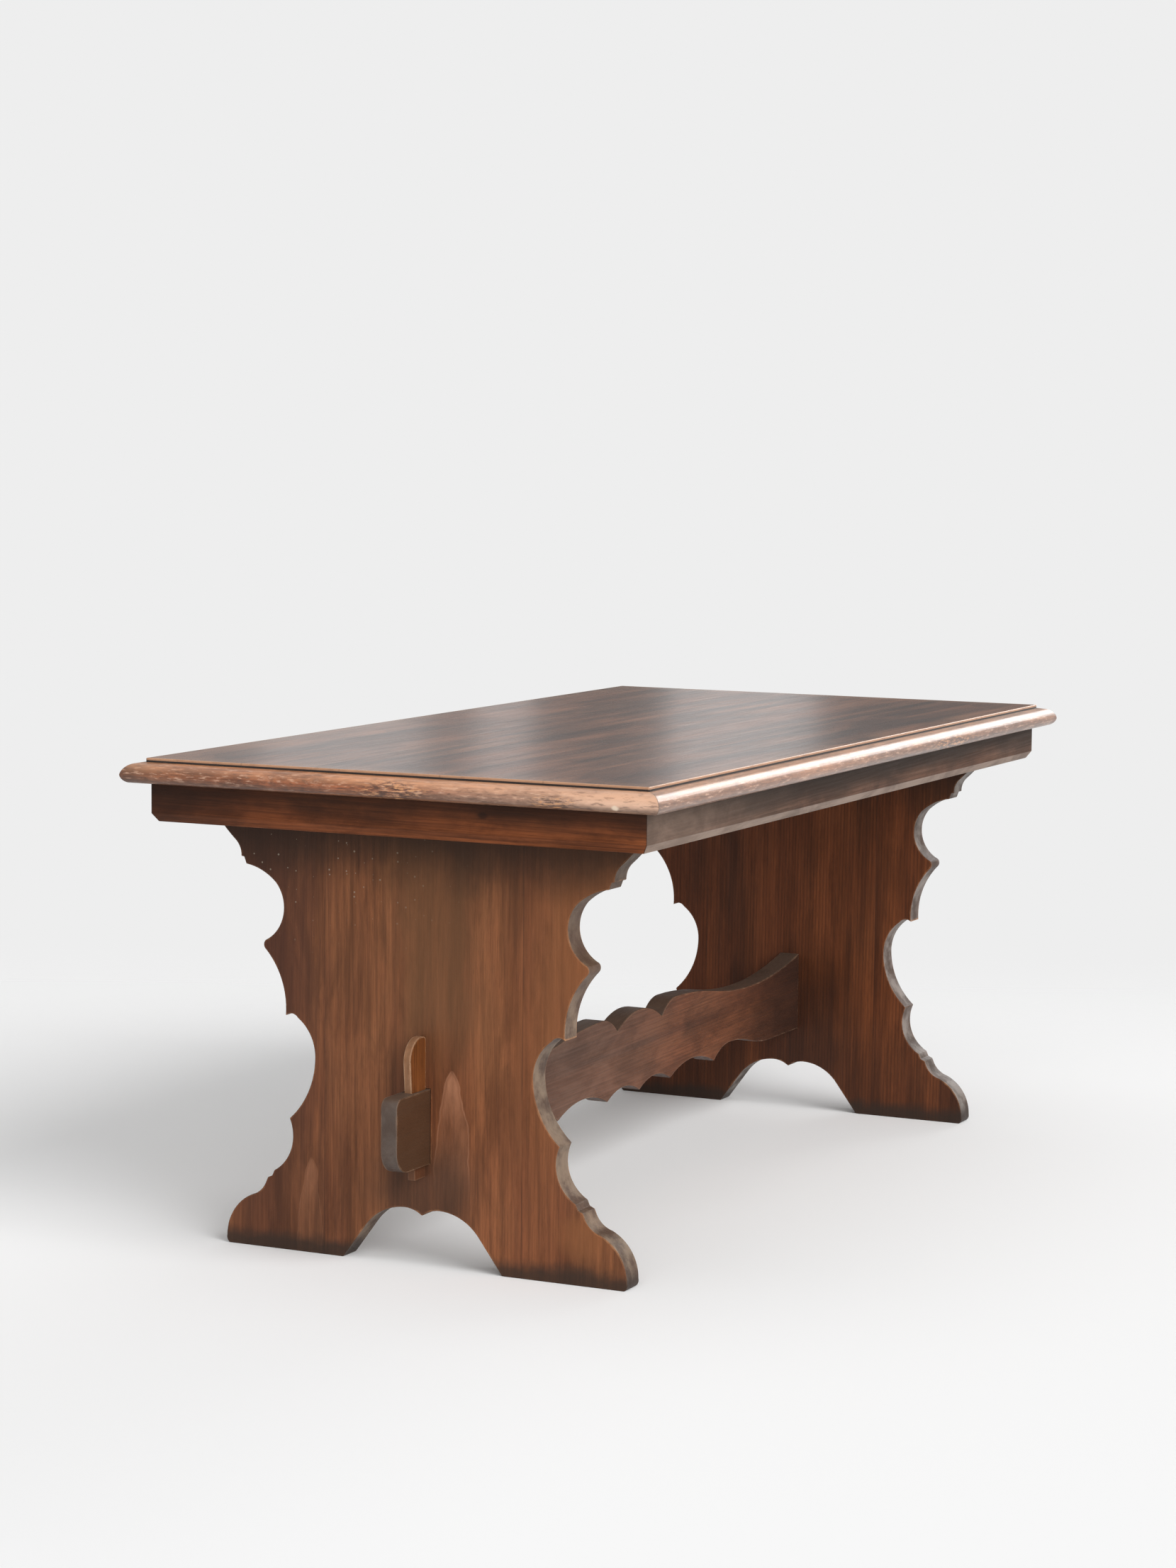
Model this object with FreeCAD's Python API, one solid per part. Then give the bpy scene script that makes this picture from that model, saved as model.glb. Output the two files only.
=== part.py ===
import FreeCAD, Part
import math
import os

# A knock-down refectory table, in millimetres. X runs along the table, Y across it and Z up, and the
# origin is on the floor under the middle. Left is -X and front is -Y.

# Top: edge-glued boards, with a mitred moulding round their edge
table_length = 1786.0
table_width = 922.0
end_overhang = 139.0  # from a trestle's outer face to the end of the table
panel_thickness = 38.0
panel_board_count = 5
moulding_projection = 30.0
moulding_step = 6.0  # the panel stands this much above the moulding
moulding_slope_width = 14.0
moulding_slope_fall = 2.4
moulding_nose_drop = 17.0  # from the end of the slope to the nose
moulding_nose_swell = 3.4
moulding_return = 10.0  # from the nose back to the underside
moulding_return_swell = 2.3

# Apron: four mitred rails under the panel, bevelled along the lower outer edge
apron_setback = 6.0  # in from the panel's edge
apron_thickness = 25.0
apron_depth = 62.0
apron_bevel_width = 8.5
apron_bevel_height = 13.0
corner_block_leg = 50.0
corner_block_height = 45.0
glue_block_leg = 30.0
glue_block_length = 80.0
long_glue_block_count = 3
long_glue_block_pitch = 420.0
end_glue_block_count = 2
end_glue_block_pitch = 330.0

# Trestles: three upright boards each, sawn to one scroll
trestle_thickness = 42.5
foot_setback = 109.0  # from the side of the table in to the widest part of the foot
board_joint_inset = 18.0  # from the narrowest part of the waist in to the joint between boards
shoulder_gap = 10.0  # between the trestle's shoulder and the apron
toe_round = 5.0
toe_height = 12.0
toe_swell = 2.2
arch_cusp_height = 79.5
arch_crown_half_width = 30.0
arch_crown_height = 90.0
arch_spring_half_width = 100.0
arch_spring_height = 54.0
arch_half_span = 140.0
arch_cusp_hollow = 2.6
arch_crown_hollow = 9.5

# The scroll from the toe up. Each stretch ends so far in from the widest part of the foot and rises so
# much. It hollows into the wood by the last number, or swells out of it where that is negative.
foot_swell = (44.0, 69.0, -12.0)
foot_cove = (71.0, 22.0, 3.8)
foot_fillet_riser = (75.0, 9.5, 0.0)
foot_fillet_tread = (83.0, 3.5, 0.0)
ankle_fillet_riser = (87.0, 9.0, 0.0)
ankle_hollow = (115.0, 86.0, 17.7)
lower_bay_rise = (161.0, 101.0, 12.0)
lower_bay_turn = (130.0, 59.5, 8.2)
lower_bay_hook = (107.7, 2.5, 5.0)
waist_hollow = (72.0, 102.0, 11.5)
waist_nose = (71.0, 15.0, -3.4)
upper_bay_rise = (90.0, 92.0, 23.0)
upper_bay_turn = (36.0, 26.5, 4.8)
shoulder_fillet_riser = (32.0, 11.0, 0.0)
shoulder_fillet_tread = (27.0, 0.5, 0.0)
shoulder_cove = (18.0, 24.0, 2.6)
shoulder_slope_rise = 67.0
shoulder_slope_swell = 3.0
shoulder_end_rise = 30.0

# Stretcher: a scalloped board with a through tenon at each end
stretcher_thickness = 38.0
stretcher_height = 153.5  # from the floor to the points of the scallops
middle_scallop_span = 128.0
middle_scallop_rise = 16.0
side_scallop_span = 190.0
side_scallop_rise = 20.5
end_scallop_run = 70.0  # from the last point to the crest of the end scallop
end_scallop_rise = 24.0
end_flat_length = 136.0
lobe_notch_half_width = 91.0
lobe_notch_height = 115.5  # this and the next four are above the scallops' points
middle_lobe_height = 141.5
side_lobe_height = 142.5
sweep_low_height = 114.5
sweep_end_height = 143.5
side_lobe_half_width = 150.0
sweep_length = 233.0
tenon_thickness = 28.0
tenon_depth = 117.5
tenon_lift = 9.0  # the tenon's underside above the scallops' points
tenon_reach = 106.0  # beyond the trestle's outer face
tenon_top_radius = 15.0
tenon_foot_radius = 36.0
tenon_clearance = 0.2

# Tusk wedges: one dropped through each tenon, bearing on the trestle's outer face
wedge_thickness = 12.5
wedge_foot_width = 34.0
wedge_shoulder_width = 50.0
wedge_below_tenon = 21.0
wedge_shoulder_above_tenon = 46.0
wedge_head_height = 37.0
wedge_head_top_width = 10.0
wedge_head_inner_run = 9.0
wedge_head_inner_drop = 7.0
wedge_head_outer_swell = 9.5
wedge_head_inner_swell = 2.2
wedge_slot_relief = 4.0  # the slot runs this much inside the trestle's face, so that the wedge draws
wedge_clearance = 0.2

# Bearers: one inside each trestle, screwed to it and up into the panel
bearer_width = 45.0
bearer_depth = 45.0
bearer_end_gap = 60.0  # between the bearer's end and the apron
screw_shank_radius = 2.5
screw_head_radius = 5.0
screw_head_depth = 3.0
screw_grip = 22.0  # how far a screw goes into the piece that it holds
screw_clearance = 0.1
screw_end_margin = 82.0  # from the bearer's end to the last screw into the trestle
panel_screw_count = 2
trestle_screw_count = 3

# Sizes that follow from these
trestle_outer_face = table_length / 2 - end_overhang
trestle_inner_face = trestle_outer_face - trestle_thickness
panel_half_length = table_length / 2 - moulding_projection
panel_half_width = table_width / 2 - moulding_projection
apron_half_length = panel_half_length - apron_setback
apron_half_width = panel_half_width - apron_setback
apron_inner_half_length = apron_half_length - apron_thickness
apron_inner_half_width = apron_half_width - apron_thickness
foot_half_spread = table_width / 2 - foot_setback
board_joint = foot_half_spread - lower_bay_rise[0] - board_joint_inset
shoulder_inset = foot_half_spread - apron_inner_half_width + shoulder_gap
trestle_scroll = [
    foot_swell, foot_cove, foot_fillet_riser, foot_fillet_tread, ankle_fillet_riser, ankle_hollow,
    lower_bay_rise, lower_bay_turn, lower_bay_hook, waist_hollow, waist_nose, upper_bay_rise,
    upper_bay_turn, shoulder_fillet_riser, shoulder_fillet_tread, shoulder_cove,
    (shoulder_inset, shoulder_slope_rise, -shoulder_slope_swell),
    (shoulder_inset, shoulder_end_rise, 0),
]
trestle_height = toe_height + sum(rise for inset, rise, hollow in trestle_scroll)
table_height = trestle_height + panel_thickness
tenon_underside = stretcher_height + tenon_lift
tenon_top = tenon_underside + tenon_depth
bearer_inner_face = trestle_inner_face - bearer_width
bearer_half_length = apron_inner_half_width - bearer_end_gap
screw_length_up = bearer_depth + screw_grip
screw_length_across = bearer_width + screw_grip
# The two rows of screws stand half a pitch apart, because one count is odd and one even.
screw_pitch = 2 * (bearer_half_length - screw_end_margin) / (trestle_screw_count - 1)

up = FreeCAD.Vector(0, 0, 1)
origin = FreeCAD.Vector(0, 0, 0)


def curve(start, end, hollow, place):
    """The edge from start to end: straight, or an arc that stands hollow to the left of its chord."""
    if hollow == 0:
        return Part.makeLine(place(*start), place(*end))
    run = end[0] - start[0]
    rise = end[1] - start[1]
    chord = math.hypot(run, rise)
    middle_u = (start[0] + end[0]) / 2 - hollow * rise / chord
    middle_v = (start[1] + end[1]) / 2 + hollow * run / chord
    return Part.Arc(place(*start), place(middle_u, middle_v), place(*end)).toShape()


def outline(start, stretches, place):
    """The face inside a closed line of stretches, each an end point and a hollow."""
    edges = []
    point = start
    for u, v, hollow in stretches:
        edges.append(curve(point, (u, v), hollow, place))
        point = (u, v)
    return Part.Face(Part.Wire(edges))


def both_halves(start, stretches):
    """A half line that starts and ends on the middle line, followed by its mirror image."""
    points = [start] + [(u, v) for u, v, hollow in stretches]
    back = []
    for number in range(len(stretches) - 1, -1, -1):
        u, v = points[number]
        back.append((-u, v, stretches[number][2]))
    return stretches + back


def level_arc(run, rise):
    """The height of the arc that covers run and rise and is level at one of its ends."""
    return math.hypot(run, rise) / 2 * math.tan(math.atan2(rise, run) / 2)


def box(low, high):
    size = [top - bottom for bottom, top in zip(low, high)]
    return Part.makeBox(*size, FreeCAD.Vector(*low))


def spaced(count, pitch):
    return [(number - (count - 1) / 2) * pitch for number in range(count)]


def export(name, shape):
    shape.exportStep("parts/" + name + ".step")


def mitred_rail(section, low, high, seat_half_length, seat_half_width, turn):
    """A rail round the table: a section drawn outwards from its seat, mitred at both ends."""
    reach = max(out for out, height, hollow in section)

    def across(out, height):
        return FreeCAD.Vector(-seat_half_length - reach, -seat_half_width - out, height)

    start = section[-1][:2]
    bar = outline(start, section, across).extrude(FreeCAD.Vector(2 * (seat_half_length + reach), 0, 0))
    corners = [
        (-seat_half_length, -seat_half_width, 0),
        (-seat_half_length - reach, -seat_half_width - reach, 0),
        (seat_half_length + reach, -seat_half_width - reach, 0),
        (seat_half_length, -seat_half_width, 0),
    ]

    def plan(u, v):
        return FreeCAD.Vector(u, v, low)

    mitre = outline(corners[-1][:2], corners, plan).extrude(up * (high - low))
    rail = bar.common(mitre)
    rail.rotate(origin, up, turn)
    return rail


def four_rails(name, section, low, high, seat_half_length, seat_half_width):
    for side, turn in (("front", 0), ("right", 90), ("back", 180), ("left", 270)):
        along, across = seat_half_length, seat_half_width
        if turn % 180:
            along, across = across, along
        export(side + "_" + name, mitred_rail(section, low, high, along, across, turn))


def screw(length, gap, head, direction, sideways):
    """A countersunk screw driven from its head, or with a gap round its shank, its hole."""
    shank = screw_shank_radius + gap
    half = [
        (screw_head_radius, 0, 0),
        (shank, screw_head_depth, 0),
        (shank, length + gap, 0),
        (0, length + gap, 0),
        (0, 0, 0),
    ]

    def lengthwise(radius, depth):
        return head + sideways * radius + direction * depth

    return outline((0, 0), half, lengthwise).revolve(head, direction, 360)


def panel_screws(side, gap):
    middle = side * (bearer_inner_face + bearer_width / 2)
    underside = trestle_height - bearer_depth
    across = FreeCAD.Vector(0, 1, 0)
    row = spaced(panel_screw_count, screw_pitch)
    return [screw(screw_length_up, gap, FreeCAD.Vector(middle, y, underside), up, across) for y in row]


def trestle_screws(side, gap):
    height = trestle_height - bearer_depth / 2
    outwards = FreeCAD.Vector(side, 0, 0)
    start = side * bearer_inner_face
    row = spaced(trestle_screw_count, screw_pitch)
    return [screw(screw_length_across, gap, FreeCAD.Vector(start, y, height), outwards, up) for y in row]


def make_panel():
    holes = panel_screws(-1, screw_clearance) + panel_screws(1, screw_clearance)
    board_width = 2 * panel_half_width / panel_board_count
    for number in range(panel_board_count):
        edge = -panel_half_width + number * board_width
        board = box(
            (-panel_half_length, edge, trestle_height),
            (panel_half_length, edge + board_width, table_height),
        )
        export("top_board_%d" % (number + 1), board.cut(holes))


def make_edge_moulding():
    top = table_height - moulding_step
    slope_end = top - moulding_slope_fall
    nose = slope_end - moulding_nose_drop
    section = [
        (moulding_projection - moulding_return, trestle_height, 0),
        (moulding_projection, nose, -moulding_return_swell),
        (moulding_slope_width, slope_end, -moulding_nose_swell),
        (0, top, 0),
        (0, trestle_height, 0),
    ]
    four_rails("edge_moulding", section, trestle_height, top, panel_half_length, panel_half_width)


def make_apron():
    bottom = trestle_height - apron_depth
    section = [
        (apron_thickness - apron_bevel_width, bottom, 0),
        (apron_thickness, bottom + apron_bevel_height, 0),
        (apron_thickness, trestle_height, 0),
        (0, trestle_height, 0),
        (0, bottom, 0),
    ]
    four_rails("apron", section, bottom, trestle_height, apron_inner_half_length, apron_inner_half_width)


def make_corner_blocks():
    bottom = trestle_height - corner_block_height

    def plan(u, v):
        return FreeCAD.Vector(u, v, bottom)

    for end, x in (("left", -1), ("right", 1)):
        for side, y in (("front", -1), ("back", 1)):
            corner = (x * apron_inner_half_length, y * apron_inner_half_width)
            legs = [
                (corner[0] - x * corner_block_leg, corner[1], 0),
                (corner[0], corner[1] - y * corner_block_leg, 0),
                (corner[0], corner[1], 0),
            ]
            block = outline(corner, legs, plan).extrude(up * corner_block_height)
            export(end + "_" + side + "_corner_block", block)


def glue_blocks(seat, middles, turn):
    """Blocks of triangular section in the angle between the panel and an apron rail."""
    blocks = []
    for middle in middles:

        def section(inward, drop):
            return FreeCAD.Vector(middle - glue_block_length / 2, inward - seat, trestle_height - drop)

        legs = [(glue_block_leg, 0, 0), (0, glue_block_leg, 0), (0, 0, 0)]
        block = outline((0, 0), legs, section).extrude(FreeCAD.Vector(glue_block_length, 0, 0))
        block.rotate(origin, up, turn)
        blocks.append(block)
    return Part.makeCompound(blocks)


def make_glue_blocks():
    long_row = spaced(long_glue_block_count, long_glue_block_pitch)
    end_row = spaced(end_glue_block_count, end_glue_block_pitch)
    export("front_glue_blocks", glue_blocks(apron_inner_half_width, long_row, 0))
    export("right_glue_blocks", glue_blocks(apron_inner_half_length, end_row, 90))
    export("back_glue_blocks", glue_blocks(apron_inner_half_width, long_row, 180))
    export("left_glue_blocks", glue_blocks(apron_inner_half_length, end_row, 270))


def trestle_outline():
    half = [
        (arch_crown_half_width, arch_crown_height, arch_cusp_hollow),
        (arch_spring_half_width, arch_spring_height, arch_crown_hollow),
        (arch_half_span, 0, 0),
        (foot_half_spread - toe_round, 0, 0),
        (foot_half_spread, toe_height, -toe_swell),
    ]
    height = toe_height
    for inset, rise, hollow in trestle_scroll:
        height += rise
        half.append((foot_half_spread - inset, height, hollow))
    half.append((0, trestle_height, 0))
    return both_halves((0, arch_cusp_height), half)


def make_trestle(end, side):
    def across(y, z):
        return FreeCAD.Vector(side * trestle_inner_face, y, z)

    face = outline((0, arch_cusp_height), trestle_outline(), across)
    panel = face.extrude(FreeCAD.Vector(side * trestle_thickness, 0, 0))
    half_mortise = tenon_thickness / 2 + tenon_clearance
    mortise = box(
        (-trestle_outer_face, -half_mortise, tenon_underside - tenon_clearance),
        (trestle_outer_face, half_mortise, tenon_top + tenon_clearance),
    )
    panel = panel.cut([mortise] + trestle_screws(side, screw_clearance))
    side_of_table = table_width / 2
    boards = (("front", -side_of_table, -board_joint), ("centre", -board_joint, board_joint),
              ("back", board_joint, side_of_table))
    for name, low, high in boards:
        strip = box((-trestle_outer_face, low, 0), (trestle_outer_face, high, trestle_height))
        export(end + "_trestle_" + name + "_board", panel.common(strip).removeSplitter())


def stretcher_outline():
    last_point = middle_scallop_span + side_scallop_span
    crest = last_point + end_scallop_run
    flat = trestle_inner_face - end_flat_length
    ogee_run = (flat - crest) / 2
    ogee_rise = end_scallop_rise / 2
    ogee = level_arc(ogee_run, ogee_rise)
    low = trestle_inner_face - sweep_length
    fall_run = (low - side_lobe_half_width) / 2
    fall_rise = (side_lobe_height - sweep_low_height) / 2
    fall = level_arc(fall_run, fall_rise)
    notch_run = side_lobe_half_width - lobe_notch_half_width
    return [
        (middle_scallop_span, 0, middle_scallop_rise),
        (last_point, 0, side_scallop_rise),
        (crest, end_scallop_rise, level_arc(end_scallop_run, end_scallop_rise)),
        (crest + ogee_run, ogee_rise, ogee),
        (flat, 0, -ogee),
        (trestle_inner_face, 0, 0),
        (trestle_inner_face, sweep_end_height, 0),
        (low, sweep_low_height, level_arc(sweep_length, sweep_end_height - sweep_low_height)),
        (low - fall_run, sweep_low_height + fall_rise, fall),
        (side_lobe_half_width, side_lobe_height, -fall),
        (lobe_notch_half_width, lobe_notch_height,
         -level_arc(notch_run, side_lobe_height - lobe_notch_height)),
        (0, middle_lobe_height, -level_arc(lobe_notch_half_width, middle_lobe_height - lobe_notch_height)),
    ]


def tenon(side):
    end = trestle_outer_face + tenon_reach
    half_thickness = tenon_thickness / 2
    bar = box(
        (trestle_inner_face, -half_thickness, tenon_underside),
        (end, half_thickness, tenon_top),
    )
    for height, radius in ((tenon_top, tenon_top_radius), (tenon_underside, tenon_foot_radius)):
        corner = [
            edge for edge in bar.Edges
            if all(abs(vertex.X - end) < tenon_clearance for vertex in edge.Vertexes)
            and all(abs(vertex.Z - height) < tenon_clearance for vertex in edge.Vertexes)
        ]
        bar = bar.makeFillet(radius, corner)
    bar = bar.cut(wedge_slot())
    if side < 0:
        bar.rotate(origin, up, 180)
    return bar


def wedge_width(height):
    """How far a wedge reaches out from the trestle's face, from its foot up to its shoulder."""
    foot = tenon_underside - wedge_below_tenon
    shoulder = tenon_top + wedge_shoulder_above_tenon
    share = (height - foot) / (shoulder - foot)
    return wedge_foot_width + share * (wedge_shoulder_width - wedge_foot_width)


def wedge_slot():
    half_width = wedge_thickness / 2 + wedge_clearance
    inner = trestle_outer_face - wedge_slot_relief

    def lengthwise(x, z):
        return FreeCAD.Vector(x, -half_width, z)

    lower = trestle_outer_face + wedge_width(tenon_underside) + wedge_clearance
    upper = trestle_outer_face + wedge_width(tenon_top) + wedge_clearance
    sides = [
        (lower, tenon_underside, 0),
        (upper, tenon_top, 0),
        (inner, tenon_top, 0),
        (inner, tenon_underside, 0),
    ]
    slot = outline((inner, tenon_underside), sides, lengthwise)
    return slot.extrude(FreeCAD.Vector(0, 2 * half_width, 0))


def make_stretcher():
    def lengthwise(x, z):
        return FreeCAD.Vector(x, -stretcher_thickness / 2, stretcher_height + z)

    face = outline((0, 0), both_halves((0, 0), stretcher_outline()), lengthwise)
    board = face.extrude(FreeCAD.Vector(0, stretcher_thickness, 0))
    export("stretcher", board.fuse([tenon(-1), tenon(1)]).removeSplitter())


def make_wedge(end, side):
    foot = tenon_underside - wedge_below_tenon
    shoulder = tenon_top + wedge_shoulder_above_tenon
    top = shoulder + wedge_head_height
    face = trestle_outer_face

    def lengthwise(x, z):
        return FreeCAD.Vector(x, -wedge_thickness / 2, z)

    sides = [
        (face + wedge_foot_width, foot, 0),
        (face + wedge_shoulder_width, shoulder, 0),
        (face + wedge_head_inner_run + wedge_head_top_width, top, -wedge_head_outer_swell),
        (face + wedge_head_inner_run, top, 0),
        (face, top - wedge_head_inner_drop, -wedge_head_inner_swell),
        (face, foot, 0),
    ]
    wedge = outline((face, foot), sides, lengthwise).extrude(FreeCAD.Vector(0, wedge_thickness, 0))
    if side < 0:
        wedge.rotate(origin, up, 180)
    export(end + "_wedge", wedge)


def make_bearer(end, side):
    near, far = sorted((side * bearer_inner_face, side * trestle_inner_face))
    bearer = box(
        (near, -bearer_half_length, trestle_height - bearer_depth),
        (far, bearer_half_length, trestle_height),
    )
    holes = panel_screws(side, screw_clearance) + trestle_screws(side, screw_clearance)
    export(end + "_bearer", bearer.cut(holes))
    export(end + "_panel_screws", Part.makeCompound(panel_screws(side, 0)))
    export(end + "_trestle_screws", Part.makeCompound(trestle_screws(side, 0)))


os.makedirs("parts", exist_ok=True)
make_panel()
make_edge_moulding()
make_apron()
make_corner_blocks()
make_glue_blocks()
make_stretcher()
for end_name, end_side in (("left", -1), ("right", 1)):
    make_trestle(end_name, end_side)
    make_wedge(end_name, end_side)
    make_bearer(end_name, end_side)
print("table %.0f x %.0f x %.0f mm" % (table_length, table_width, table_height))
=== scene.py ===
import bpy
import math
from mathutils import Matrix, Vector


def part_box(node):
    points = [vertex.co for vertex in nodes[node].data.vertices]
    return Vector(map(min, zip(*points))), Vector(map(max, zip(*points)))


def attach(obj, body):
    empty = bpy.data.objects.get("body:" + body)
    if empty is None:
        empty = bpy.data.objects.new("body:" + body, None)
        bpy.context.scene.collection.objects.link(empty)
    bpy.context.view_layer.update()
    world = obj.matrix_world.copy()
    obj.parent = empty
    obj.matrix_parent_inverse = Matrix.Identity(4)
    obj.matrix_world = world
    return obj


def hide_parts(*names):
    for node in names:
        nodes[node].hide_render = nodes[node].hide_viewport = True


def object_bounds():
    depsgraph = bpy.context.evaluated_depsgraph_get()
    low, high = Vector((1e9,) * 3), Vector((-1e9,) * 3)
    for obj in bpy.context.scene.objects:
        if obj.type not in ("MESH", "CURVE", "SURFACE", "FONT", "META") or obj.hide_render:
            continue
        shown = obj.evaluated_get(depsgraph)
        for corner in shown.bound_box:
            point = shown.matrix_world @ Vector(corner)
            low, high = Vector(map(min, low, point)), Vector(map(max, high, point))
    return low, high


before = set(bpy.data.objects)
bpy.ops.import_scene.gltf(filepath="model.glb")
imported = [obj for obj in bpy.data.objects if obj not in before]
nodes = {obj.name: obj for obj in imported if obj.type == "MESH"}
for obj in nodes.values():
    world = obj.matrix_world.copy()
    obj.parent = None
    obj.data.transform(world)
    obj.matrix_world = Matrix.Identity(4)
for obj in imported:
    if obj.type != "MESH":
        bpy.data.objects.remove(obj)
cadLow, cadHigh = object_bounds()
scene = bpy.context.scene
scene.view_settings.view_transform = 'Standard'
bpy.ops.object.select_all(action='DESELECT')
print("frame loaded:", len(nodes), "nodes")

# Which way the grain runs in a piece, as the turn that lays it along X
grainAlong = {
    "x": (0, 0, 0),
    "y": (0, 0, math.radians(-90)),
    "z": (0, math.radians(90), 0),
}


# Node helpers
def addNode(tree, kind, **settings):
    node = tree.nodes.new(kind)
    for name, value in settings.items():
        setattr(node, name, value)
    return node


def feed(tree, socket, value):
    if isinstance(value, bpy.types.NodeSocket):
        tree.links.new(value, socket)
    else:
        socket.default_value = value


def feedAll(tree, node, values):
    for name, value in values.items():
        feed(tree, node.inputs[name], value)


def calc(tree, operation, first, second=0.0):
    node = addNode(tree, 'ShaderNodeMath', operation=operation)
    feed(tree, node.inputs[0], first)
    feed(tree, node.inputs[1], second)
    return node.outputs[0]


def plus(tree, first, second):
    return calc(tree, 'ADD', first, second)


def minus(tree, first, second):
    return calc(tree, 'SUBTRACT', first, second)


def times(tree, first, second):
    return calc(tree, 'MULTIPLY', first, second)


def sizeOf(tree, value):
    return calc(tree, 'ABSOLUTE', value)


def calcVector(tree, operation, first, second=None):
    node = addNode(tree, 'ShaderNodeVectorMath', operation=operation)
    feed(tree, node.inputs[0], first)
    if second is not None:
        feed(tree, node.inputs[1], second)
    return node.outputs["Value" if operation in ('DOT_PRODUCT', 'LENGTH') else "Vector"]


def stretched(tree, vector, scale):
    return calcVector(tree, 'MULTIPLY', vector, scale)


def axes(tree, vector):
    node = addNode(tree, 'ShaderNodeSeparateXYZ')
    feed(tree, node.inputs[0], vector)
    return node.outputs


def facing(tree):
    return axes(tree, addNode(tree, 'ShaderNodeNewGeometry').outputs["True Normal"])


def ease(tree, value, low, high, toLow=0.0, toHigh=1.0):
    node = addNode(tree, 'ShaderNodeMapRange', interpolation_type='SMOOTHSTEP')
    for socket, amount in zip(node.inputs, (value, low, high, toLow, toHigh)):
        feed(tree, socket, amount)
    return node.outputs[0]


def blendColour(tree, factor, first, second, mode='MIX'):
    node = addNode(tree, 'ShaderNodeMix', data_type='RGBA', blend_type=mode, clamp_factor=True)
    feed(tree, node.inputs[0], factor)
    feed(tree, node.inputs[6], first)
    feed(tree, node.inputs[7], second)
    return node.outputs[2]


def noise(tree, vector, scale, detail=2.0, roughness=0.5, distortion=0.0):
    node = addNode(tree, 'ShaderNodeTexNoise')
    feedAll(tree, node, {"Vector": vector, "Scale": scale, "Detail": detail,
                         "Roughness": roughness, "Distortion": distortion})
    return node.outputs[0]


def newGroup(name, amounts, results):
    tree = bpy.data.node_groups.new(name, 'ShaderNodeTree')
    tree.interface.new_socket(name="Vector", in_out='INPUT', socket_type='NodeSocketVector')
    for label in amounts:
        tree.interface.new_socket(name=label, in_out='INPUT', socket_type='NodeSocketFloat')
    for label in results:
        tree.interface.new_socket(name=label, in_out='OUTPUT', socket_type='NodeSocketFloat')
    return tree, addNode(tree, 'NodeGroupInput').outputs, addNode(tree, 'NodeGroupOutput')


def useGroup(tree, group, **values):
    node = addNode(tree, 'ShaderNodeGroup')
    node.node_tree = group
    feedAll(tree, node, values)
    return node.outputs


def newMaterial(name):
    material = bpy.data.materials.new(name)
    material.use_nodes = True
    tree = material.node_tree
    return material, tree, addNode(tree, 'ShaderNodeTexCoord').outputs["Object"]


# Walnut figure, grain along X: growth rings, stripes, fibres, pores, clouds of tone and mottling
figureGrain = {
    "ringDraw": (0.07, 1, 1), "ringDetail": 3.0, "ringDetailScale": 0.35, "ringDetailRough": 0.55,
    "stripeDraw": (0.025, 1, 1), "fibreDraw": (5, 330, 330), "poreDraw": (40, 1300, 1300),
    "cloudDraw": (2.0, 9, 9),
}


def makeWalnutFigure():
    tree, given, result = newGroup(
        "walnutFigure", ["RingScale", "Waver", "StripeScale", "MottleScale", "MottleDraw"],
        ["Rings", "Stripes", "Fibres", "Pores", "Clouds", "Mottle"])

    def drawnOut(kind):
        return stretched(tree, given["Vector"], figureGrain[kind])

    rings = addNode(tree, 'ShaderNodeTexWave', wave_type='RINGS', rings_direction='X', wave_profile='SAW')
    feedAll(tree, rings, {
        "Vector": drawnOut("ringDraw"), "Scale": given["RingScale"], "Distortion": given["Waver"],
        "Detail": figureGrain["ringDetail"], "Detail Scale": figureGrain["ringDetailScale"],
        "Detail Roughness": figureGrain["ringDetailRough"],
    })
    stripes = noise(tree, drawnOut("stripeDraw"), given["StripeScale"], 7.0, 0.58, 0.2)
    fibres = noise(tree, drawnOut("fibreDraw"), 1.0, 3.0, 0.6)
    pores = noise(tree, drawnOut("poreDraw"), 1.0, 1.0)
    clouds = noise(tree, drawnOut("cloudDraw"), 1.0, 3.0, 0.55, 0.6)
    drawn = addNode(tree, 'ShaderNodeCombineXYZ')  # how far the mottling is drawn out along the grain
    feedAll(tree, drawn, {"X": given["MottleDraw"], "Y": 1.0, "Z": 1.0})
    mottled = stretched(tree, given["Vector"], drawn.outputs[0])
    mottle = noise(tree, mottled, given["MottleScale"], 5.0, 0.66, 0.4)
    feedAll(tree, result, {
        "Rings": rings.outputs["Fac"],
        "Stripes": ease(tree, stripes, 0.34, 0.66),
        "Fibres": fibres,
        "Pores": ease(tree, pores, 0.58, 0.72),
        "Clouds": ease(tree, clouds, 0.3, 0.7),
        "Mottle": ease(tree, mottle, 0.3, 0.7),
    })
    return tree


# Rubbed arrises: where the surface turns a corner, broken up by a noise
rubbing = {"samples": 6, "patchScale": 38.0, "gain": 9.0, "full": 0.8}


def makeRubbedEdge():
    tree, given, result = newGroup("rubbedEdge", ["Radius", "Patchiness"], ["Rub"])
    rounded = addNode(tree, 'ShaderNodeBevel', samples=rubbing["samples"])
    feed(tree, rounded.inputs["Radius"], given["Radius"])
    normal = addNode(tree, 'ShaderNodeNewGeometry').outputs["Normal"]
    turn = minus(tree, 1.0, calcVector(tree, 'DOT_PRODUCT', rounded.outputs[0], normal))
    patch = noise(tree, given["Vector"], rubbing["patchScale"], 4.0, 0.65)
    loss = times(tree, ease(tree, patch, 0.3, 0.7), given["Patchiness"])
    shown = minus(tree, times(tree, turn, rubbing["gain"]), loss)
    feed(tree, result.inputs["Rub"], ease(tree, shown, 0.0, rubbing["full"]))
    return tree


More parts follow.
